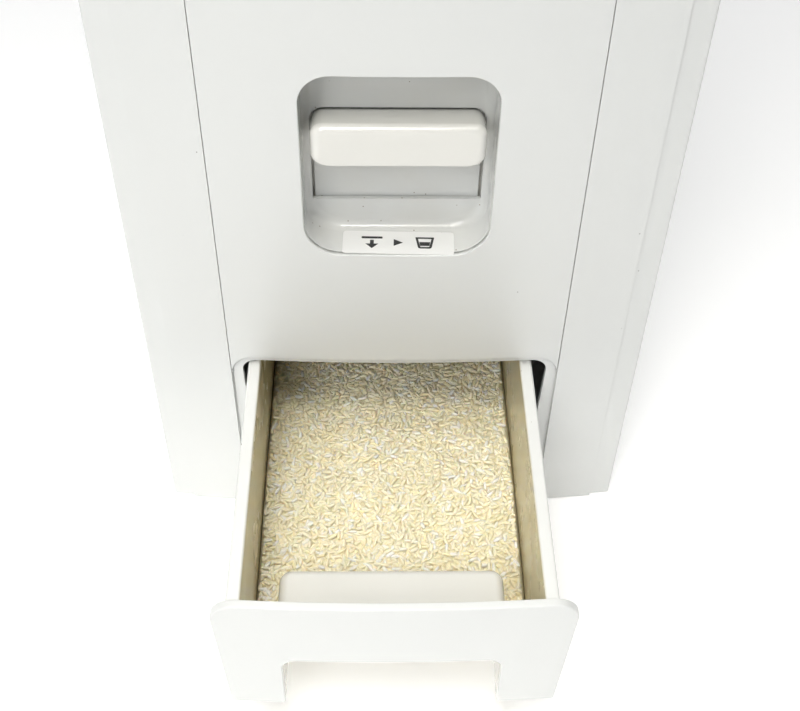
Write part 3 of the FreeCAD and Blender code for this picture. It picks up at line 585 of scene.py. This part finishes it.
def make_recess():
    """The lever's cup: rounded walls, a filleted back and the window the lever moves in."""
    fillet = 5.0
    wall = 2.0
    mouth = FRONT + COVER_THICKNESS + 0.02
    straight = 3.0
    rings = []

    def ring(line, y, bowed=False):
        """Adds a ring from (x, z) points at one depth."""
        rings.append([(x, y + (bow(x) if bowed else 0), z) for x, z in line])

    ring(recess_line(-wall), mouth, True)
    ring(recess_line(), mouth, True)
    ring(recess_line(), mouth + straight)
    for along, inset in reversed(quarter(fillet, 8)):
        ring(recess_line(inset), RECESS_BACK - along)
    cup = loft(rings[::-1] + [[(x, RECESS_BACK + wall, z) for x, z in recess_line(-wall)]])
    window = upright(WINDOW_HALF, WINDOW_BOTTOM, WINDOW_TOP, 0.6, 6.0)
    tool = slab([window], RECESS_BACK - 9, 18, 0.05)
    return in_place(cut_away(cup, tool, 0.35), "recess_cup", "case", "recess_white", "recess_housing")


def make_lever():
    """The thumb lever: a sloping top, large soft edges and a crisp edge below."""
    y0, y1 = LEVER_LOW.y, LEVER_HIGH.y
    top_front, top_back = 267.0, 259.7
    front_round, top_round, foot_round = 4.6, 5.6, 4.0
    foot_crispness = 0.08
    steps = 6
    places = [(y0 + along, inset) for along, inset in quarter(front_round, 8)]
    places += [(y0 + front_round + (y1 - y0 - front_round) * k / steps, 0) for k in range(1, steps + 1)]
    rings = []
    for y, inset in places:
        top = top_front + (top_back - top_front) * (y - y0) / (y1 - y0) - inset
        foot = LEVER_LOW.z + foot_crispness * inset
        w = LEVER_HIGH.x - inset
        r = max(top_round - inset, 0.6)
        line = rounded([(-w, foot, foot_round), (w, foot, foot_round), (w, top, r), (-w, top, r)], 8)
        rings.append([(x, y, z) for x, z in line])
    return in_place(loft(rings), "lever_cap", "lever", "lever_gloss", "press_lever")


def make_shield():
    """The panel that fills the window behind and below the lever."""
    line = upright(SHIELD_HIGH.x, SHIELD_LOW.z, SHIELD_HIGH.z, 1, 1)
    bm = slab([line], SHIELD_LOW.y, 3.0, 0.35)
    return in_place(bm, "shield_panel", "lever", "recess_white", "dust_shield")


def make_label():
    """A sticker on the recess's floor, printed with a plain picture: press down, then one cup."""
    middle = (LABEL_LOW + LABEL_HIGH) / 2
    turn = Matrix.Rotation(math.radians(-1.3), 4, "Z")

    def lay(loops, height, thickness, edge):
        """A flat shape from loops about the sticker's middle, laid on the recess's floor."""
        bm = slab(loops, 0, thickness, edge, steps=1)
        for vertex in bm.verts:
            x, y, z = vertex.co
            spot = turn @ Vector((x, z, 0))
            vertex.co = (middle.x + spot.x, middle.y + spot.y, height + y)
        bmesh.ops.recalc_face_normals(bm, faces=bm.faces)
        return bm

    w, d, r = 26.3, 7.95, 1.6
    sheet = rounded([(-w, -d, r), (w, -d, r), (w, d, r), (-w, d, r)], 6)
    in_place(lay([sheet], LABEL_LOW.z, 0.17, 0.04), "label_sheet", "case", "label_vinyl", "press_label")
    bar = rounded([(-17.5, 2.6, 0.4), (-7.5, 2.6, 0.4), (-7.5, 4.1, 0.4), (-17.5, 4.1, 0.4)], 3)
    arrow = [(-13.4, 1.6), (-13.4, -1.0), (-15.6, -1.0), (-12.5, -4.3)]
    arrow += [(-9.4, -1.0), (-11.6, -1.0), (-11.6, 1.6)]
    then = [(-2.2, 2.4), (-2.2, -2.4), (2.2, 0)]
    cup = rounded([(8.0, 4.0, 0.3), (9.4, -4.0, 1.2), (15.6, -4.0, 1.2), (17.0, 4.0, 0.3)], 3)
    inside = rounded([(9.3, 2.9, 0.2), (10.4, -2.9, 0.5), (14.6, -2.9, 0.5), (15.7, 2.9, 0.2)], 3)
    level = [(9.9, 0.6), (10.3, -2.1), (14.7, -2.1), (15.1, 0.6)]
    pictures = ([bar], [arrow], [then], [level], [cup, inside])
    prints = [lay(loops, LABEL_HIGH.z - 0.04, 0.03, 0.005) for loops in pictures]
    mark = in_place(joined(prints), "label_picture", "case", "label_vinyl", normals=False)
    mark.data.materials.clear()
    mark.data.materials.append(ink())


def make_springs():
    """The two return springs, drawn as real wire."""
    low, high = box("return_springs")
    y = (low.y + high.y) / 2
    wire = 0.55
    coil = 3.6
    turns = 7
    steps = turns * 20
    spacing = 24.0
    rise = high.z - low.z - 2 * wire
    for side, name in ((-spacing, "return_spring_left"), (spacing, "return_spring_right")):
        rings = []
        for k in range(steps + 1):
            angle = 2 * math.pi * turns * k / steps
            out = Vector((math.cos(angle), math.sin(angle), 0))
            centre = Vector((side, y, low.z + wire + rise * k / steps)) + out * coil
            ring = [
                centre + out * wire * math.cos(a) + Vector((0, 0, wire * math.sin(a)))
                for a in (2 * math.pi * i / 8 for i in range(8))
            ]
            rings.append(ring)
        spring = in_place(loft(rings), name, "case", "spring_steel", "return_springs", normals=False)
        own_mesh(spring)


# ---- Drawer -----------------------------------------------------------------------------------------
CROWN = PLATE_LOW.y
PLATE_THICKNESS = 4.3
TRAY_FLOOR = TRAY_LOW.z + 3
TRAY_WALL = 2.6
TRAY_RIM = TRAY_HIGH.x - TRAY_MIDDLE
TRAY_TOP = TRAY_HIGH.z
RIM_DEPTH = 12.0
RIM_THICKNESS = 3.0
RIM_SHEET = 1.6


def make_drawer_front():
    """The front plate: its sides taper, and the hand notch lies a little off its middle."""
    low, high = PLATE_LOW.z, PLATE_HIGH.z
    middle = (PLATE_LOW.x + PLATE_HIGH.x) / 2 - TRAY_MIDDLE
    head, foot = 82.2, 77.7
    notch, notch_top = 50.8, 72.5
    line = [(middle - foot, low, 1.5), (-notch, low, 1.0), (-notch, notch_top, 7)]
    line += [(notch, notch_top, 7), (notch, low, 1.0), (middle + foot, low, 1.5)]
    line += [(middle + head, high, 12), (middle - head, high, 12)]
    bm = bend(slab([rounded(line, 12)], CROWN, PLATE_THICKNESS, 0.8), head + 2)
    return in_place(bm, "drawer_face", "drawer", "casing_white", "drawer_front")


def make_tray():
    """Floor, sides and back of the drawer, with a rim turned out and down along the sides."""
    y0 = CROWN + PLATE_THICKNESS - 2.2
    y1 = TRAY_HIGH.y
    parts = []
    for side in (-1, 1):
        wall = [
            (TRAY_INNER, TRAY_LOW.z, 0.4),
            (TRAY_INNER, TRAY_TOP, 1.1),
            (TRAY_RIM, TRAY_TOP, 1.3),
            (TRAY_RIM, TRAY_TOP - RIM_DEPTH, 0.5),
            (TRAY_RIM - RIM_SHEET, TRAY_TOP - RIM_DEPTH, 0.5),
            (TRAY_RIM - RIM_SHEET, TRAY_TOP - RIM_THICKNESS, 0.6),
            (TRAY_INNER + TRAY_WALL, TRAY_TOP - RIM_THICKNESS, 0.6),
            (TRAY_INNER + TRAY_WALL, TRAY_LOW.z, 0.8),
        ]
        line = rounded([(side * x, z, r) for x, z, r in wall], 5)
        part = slab([line], y0, y1 - y0, 0.15, steps=1)
        for vertex in part.verts:
            if vertex.co.y < y0 + 1:
                vertex.co.y += bow(vertex.co.x)
        parts.append(part)
    half = TRAY_INNER + 1
    near = y0 + 1.5
    pocket_y = PULL_HIGH.y + 0.2
    w = PULL_HALF + 0.2
    floor = [(-half, near), (-w, near), (-w, pocket_y), (w, pocket_y), (w, near)]
    floor += [(half, near), (half, y1 - 4), (-half, y1 - 4)]
    plate = slab([floor], TRAY_LOW.z, TRAY_FLOOR - TRAY_LOW.z, 0.2, steps=1)
    for vertex in plate.verts:
        x, y, z = vertex.co
        front_edge = z < y0 + 3
        vertex.co = (x, z + (bow(x) if front_edge else 0), y)
    parts.append(plate)
    wall_y = y1 - RIM_SHEET - 4
    lip = upright(TRAY_RIM, TRAY_TOP - RIM_DEPTH, TRAY_TOP, 1.0, 1.3)
    parts.append(slab([lip], y1 - RIM_SHEET, RIM_SHEET, 0.4))
    wall = upright(half, TRAY_LOW.z, TRAY_TOP - 1, 0.05, 0.05, steps=1)
    parts.append(slab([wall], wall_y, TRAY_WALL, 0.3))
    shelf = upright(TRAY_RIM - 1, TRAY_TOP - RIM_THICKNESS, TRAY_TOP, 0.05, 0.05, steps=1)
    parts.append(slab([shelf], wall_y, 5.0, 0.6))
    bm = joined(parts)
    bmesh.ops.recalc_face_normals(bm, faces=bm.faces)
    return in_place(bm, "tray_shell", "drawer", "drawer_plastic", "drawer_tray")


def pocket_line(inset, y0, corner):
    """The finger pocket's outline from above: square at the plate, round at the back."""
    w = PULL_HALF - inset
    y1 = PULL_HIGH.y - inset
    r = max(corner - inset, 0.4)
    return rounded([(-w, y0, 0), (w, y0, 0), (w, y1, r), (-w, y1, r)], 10)


def make_pull():
    """The finger pocket behind the notch, open below and in front."""
    y0 = CROWN + PLATE_THICKNESS - 1.5
    top = PULL_HIGH.z
    corner, outer_round, inner_round, wall = 6.0, 4.5, 2.2, 2.5
    outside = [(PULL_LOW.z, 0)]
    outside += [(top - along, inset) for along, inset in reversed(quarter(outer_round, 8))]
    rings = []
    for height, inset in outside:
        line = pocket_line(inset, y0, corner)
        rings.append([(x, y + (bow(x) if y < y0 + 1 else 0), height) for x, y in line])
    inside = [(PULL_LOW.z - 5, wall)]
    inside += [(top - wall - along, wall + inset) for along, inset in reversed(quarter(inner_round, 4))]
    hollow = []
    for height, inset in inside:
        hollow.append([(x, y, height) for x, y in pocket_line(inset, y0 - 8, corner)])
    bm = cut_away(loft(rings), loft(hollow), 0.3)
    return in_place(bm, "pull_cup", "drawer", "lever_gloss", "pull_pocket")


# ---- Rice -------------------------------------------------------------------------------------------
RICE_FRONT = CROWN + PLATE_THICKNESS + 1.0
RICE_BACK = TRAY_HIGH.y - 6.5
RICE_HALF = TRAY_INNER - 0.4
PULL_SIDE = PULL_HALF + 0.4  # the rice stays this far from the drawer's middle beside the finger pocket
PULL_BACK = PULL_HIGH.y + 0.4


def rice_height(x, y):
    """The rice's surface: a low mound with soft hollows."""
    along = (y - CROWN) / 260
    mound = 3.2 * np.cos(np.clip(x / 66, -1, 1) * math.pi / 2)
    waves = 0.9 * np.sin(x / 17 + 1.3) * np.cos(y / 23) + 0.6 * np.sin(x / 9 - y / 13)
    return 54.0 + mound + waves + 2.5 * np.sin(along * math.pi)


def make_rice_bed():
    """The filled bed just below the loose grains, open round the finger pocket."""
    sink = 2.2
    across = np.linspace(-PULL_SIDE, PULL_SIDE, 31)[1:-1]
    left, right = np.linspace(-RICE_HALF, -PULL_SIDE, 5), np.linspace(PULL_SIDE, RICE_HALF, 5)
    xs = np.concatenate([left, across, right])
    near, far = np.linspace(RICE_FRONT + 4, PULL_BACK, 12), np.linspace(PULL_BACK, RICE_BACK, 60)[1:]
    ys = np.concatenate([near, far])
    bed = bmesh.new()
    points = {}

    def point(corner, upper):
        """The bed's point over or under a corner of the grid, made when it is first needed."""
        if (corner, upper) not in points:
            x, y = xs[corner[0]], ys[corner[1]]
            z = float(rice_height(x, y)) - sink if upper else TRAY_FLOOR + 0.3
            points[corner, upper] = bed.verts.new((x, y, z))
        return points[corner, upper]

    def in_pull(i, j):
        """Whether a cell lies in the finger pocket."""
        return abs(xs[i] + xs[i + 1]) / 2 < PULL_SIDE and ys[j + 1] < PULL_BACK + 0.01

    cells = [(i, j) for i in range(len(xs) - 1) for j in range(len(ys) - 1) if not in_pull(i, j)]
    filled = set(cells)
    for i, j in cells:
        corners = ((i, j), (i + 1, j), (i + 1, j + 1), (i, j + 1))
        bed.faces.new([point(corner, True) for corner in corners])
        bed.faces.new([point(corner, False) for corner in reversed(corners)])
        for k, beyond in enumerate(((i, j - 1), (i + 1, j), (i, j + 1), (i - 1, j))):
            if beyond not in filled:
                a, b = corners[k], corners[(k + 1) % 4]
                bed.faces.new((point(b, True), point(a, True), point(a, False), point(b, False)))
    in_place(bed, "rice_bed", "drawer", "rice", "rice_fill")


def grain_shape(rows=6, around=7):
    """One blunt grain along X, 1 in every half-size: its points and its faces."""
    points = [(-1.0, 0.0, 0.0)]
    for k in range(1, rows):
        t = -math.cos(math.pi * k / rows)
        swell = (1 - abs(t) ** 2.6) ** 0.62
        for a in range(around):
            angle = 2 * math.pi * a / around
            points.append((t, swell * math.cos(angle), swell * math.sin(angle)))
    points.append((1.0, 0.0, 0.0))
    faces = []
    for k in range(rows - 2):
        for a in range(around):
            b = (a + 1) % around
            base = 1 + k * around
            faces.append((base + a, base + b, base + around + b, base + around + a))
    last = len(points) - 1
    tail = 1 + (rows - 2) * around
    faces += [(0, 1 + (a + 1) % around, 1 + a) for a in range(around)]
    faces += [(last, tail + a, tail + (a + 1) % around) for a in range(around)]
    return np.array(points), faces


def grain_places(rng):
    """Middles of two layers of grains, each a shaken grid just under the rice's surface."""
    pitch, shake = 2.75, 1.2
    places = []
    for layer, drop in enumerate((1.0, 2.3)):
        across = np.arange(-RICE_HALF + 1, RICE_HALF, pitch)
        gx, gy = np.meshgrid(across, np.arange(RICE_FRONT, RICE_BACK, pitch))
        x = gx.ravel() + rng.uniform(-shake, shake, gx.size) + layer * pitch / 2
        y = gy.ravel() + rng.uniform(-shake, shake, gx.size)
        z = rice_height(x, y) - drop + rng.normal(0, 0.5, gx.size)
        places.append(np.stack([x, y, z], 1))
    return np.concatenate(places)


def make_grains():
    """Loose grains, turned at random and kept clear of the tray's walls and the finger pocket."""
    rng = np.random.default_rng(11)
    places = grain_places(rng)
    count = len(places)
    half_length = rng.normal(2.5, 0.24, count).clip(1.7, 3.0)
    size = np.stack([half_length, rng.normal(1.06, 0.07, count), rng.normal(0.9, 0.07, count)], 1)
    yaw = rng.uniform(0, math.pi, count)
    tilt = rng.normal(0, 0.28, count)
    roll = rng.uniform(0, math.pi, count)
    ahead = np.stack([np.cos(yaw) * np.cos(tilt), np.sin(yaw) * np.cos(tilt), np.sin(tilt)], 1)
    level = np.stack([-np.sin(yaw), np.cos(yaw), np.zeros(count)], 1)
    up = np.cross(ahead, level)
    side = level * np.cos(roll)[:, None] + up * np.sin(roll)[:, None]
    top = up * np.cos(roll)[:, None] - level * np.sin(roll)[:, None]

    x, y = places[:, 0], places[:, 1]  # views: writing to them moves the grains
    reach = np.abs(ahead) * size[:, :1] + 1.0
    x[:] = x.clip(-RICE_HALF + reach[:, 0], RICE_HALF - reach[:, 0])
    front_wall = RICE_FRONT + BOW - np.sqrt(BOW**2 - x**2)
    y[:] = np.maximum(y, front_wall + reach[:, 1]).clip(None, RICE_BACK - reach[:, 1])
    in_pull = (np.abs(x) < PULL_SIDE + reach[:, 0]) & (y < PULL_BACK + reach[:, 1])
    keep = np.nonzero(~in_pull)[0]
    x += TRAY_MIDDLE

    shape, shape_faces = grain_shape()
    share = 2600
    for number in range(0, len(keep), share):
        chosen = keep[number : number + share]
        points = (
            places[chosen][:, None]
            + shape[None, :, :1] * (ahead * size[:, :1])[chosen][:, None]
            + shape[None, :, 1:2] * (side * size[:, 1:2])[chosen][:, None]
            + shape[None, :, 2:] * (top * size[:, 2:])[chosen][:, None]
        ).reshape(-1, 3) * MM
        faces = []
        for grain in range(len(chosen)):
            base = grain * len(shape)
            faces += [tuple(base + i for i in face) for face in shape_faces]
        name = f"rice_grains_{number // share + 1}"
        mesh = bpy.data.meshes.new(name)
        mesh.from_pydata(points.tolist(), [], faces)
        piece(mesh, name, "drawer", "rice", normals=False)


# ---- Making -----------------------------------------------------------------------------------------
make_camera()
make_studio()
make_cover()
make_recess()
make_lever()
make_shield()
make_label()
make_springs()
make_drawer_front()
make_tray()
make_pull()
make_rice_bed()
make_grains()

slot_of = {part["node"]: part["material_slot"] for part in frame["record"]["subparts"]}
body_of = {node: body for body, nodes in frame["record"]["behaviour"]["bodies"].items() for node in nodes}
# CAD nodes that are drawn again in their own shape, and how far their sharp edges are rounded off.
soft_edges = {
    "base_plate": 0.5,
    "side_panel_left": 0.5,
    "side_panel_right": 0.5,
    "rear_panel": 0.4,
    "front_frame": 0.45,
    "top_frame": 0.4,
    "lid": 0.4,
    "discharge_chute": 0.3,
    "drawer_runner_left": 0.3,
    "drawer_runner_right": 0.3,
}
for node, edge in soft_edges.items():
    softened(node, edge, slot_of[node], body_of[node])

for node, shape in frame["nodes"].items():
    shape.data.materials.clear()
    shape.data.materials.append(finishes[slot_of[node]])
